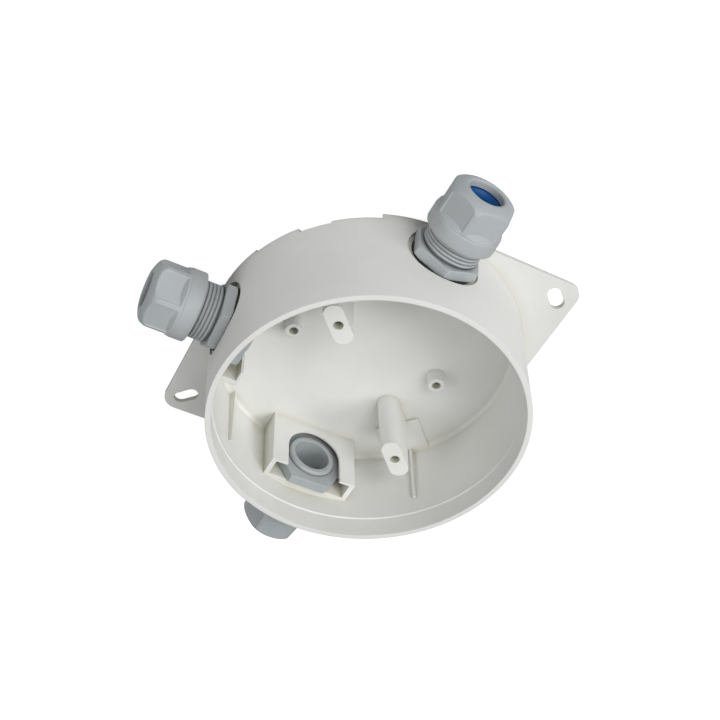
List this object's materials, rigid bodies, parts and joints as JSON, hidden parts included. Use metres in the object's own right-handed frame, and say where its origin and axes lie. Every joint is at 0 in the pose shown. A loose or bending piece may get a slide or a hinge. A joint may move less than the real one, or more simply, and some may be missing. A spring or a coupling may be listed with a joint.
{
  "type": "detector base",
  "caption": "Round open back box for a ceiling detector, with fixing ears, inner screw pillars and cable glands in its wall.",
  "frame": {"origin": "centre of the rear face", "axes": "+Z out of the open side, X through the two fixing ears, with the ear whose slot runs across it on +X"},
  "size_m": [0.171, 0.1424, 0.048],
  "materials": {
    "shell_plastic": "fine satin moulded surface",
    "gland_plastic": "fine matt moulded surface",
    "washer_rubber": "dull",
    "seal_rubber": "smooth"
  },
  "bodies": {
    "base": {"housing": "shell_plastic", "gland_a_body": "gland_plastic", "gland_a_washer": "washer_rubber", "gland_a_locknut": "gland_plastic", "gland_b_body": "gland_plastic", "gland_b_washer": "washer_rubber", "gland_b_locknut": "gland_plastic", "gland_c_body": "gland_plastic", "gland_c_washer": "washer_rubber", "gland_c_locknut": "gland_plastic"},
    "gland_a_insert": {"gland_a_seal": "seal_rubber"},
    "gland_a_nut": {"gland_a_cap": "gland_plastic"},
    "gland_b_insert": {"gland_b_seal": "seal_rubber"},
    "gland_b_nut": {"gland_b_cap": "gland_plastic"},
    "gland_c_insert": {"gland_c_seal": "seal_rubber"},
    "gland_c_nut": {"gland_c_cap": "gland_plastic"}
  },
  "joints": [
    {"name": "gland_a_travel", "type": "slide", "parent": "base", "child": "gland_a_insert", "axis": [0.7071, 0.7071, 0], "range_m": [-0.0015, 0.0045]},
    {"name": "gland_a_turn", "type": "hinge", "parent": "gland_a_insert", "child": "gland_a_nut", "pos_m": [0.05056, 0.05056, 0.017], "axis": [0.7071, 0.7071, 0], "range_deg": [-360, 1080]},
    {"name": "gland_b_travel", "type": "slide", "parent": "base", "child": "gland_b_insert", "axis": [-0.7071, 0.7071, 0], "range_m": [-0.0015, 0.0045]},
    {"name": "gland_b_turn", "type": "hinge", "parent": "gland_b_insert", "child": "gland_b_nut", "pos_m": [-0.05056, 0.05056, 0.017], "axis": [-0.7071, 0.7071, 0], "range_deg": [-360, 1080]},
    {"name": "gland_c_travel", "type": "slide", "parent": "base", "child": "gland_c_insert", "axis": [-0.7071, -0.7071, 0], "range_m": [-0.0015, 0.0045]},
    {"name": "gland_c_turn", "type": "hinge", "parent": "gland_c_insert", "child": "gland_c_nut", "pos_m": [-0.05056, -0.05056, 0.017], "axis": [-0.7071, -0.7071, 0], "range_deg": [-360, 1080]}
  ],
  "couplings": [
    {"joint": "gland_a_travel", "follows": "gland_a_turn", "m_per_rad": 0.00023873},
    {"joint": "gland_b_travel", "follows": "gland_b_turn", "m_per_rad": 0.00023873},
    {"joint": "gland_c_travel", "follows": "gland_c_turn", "m_per_rad": 0.00023873}
  ]
}
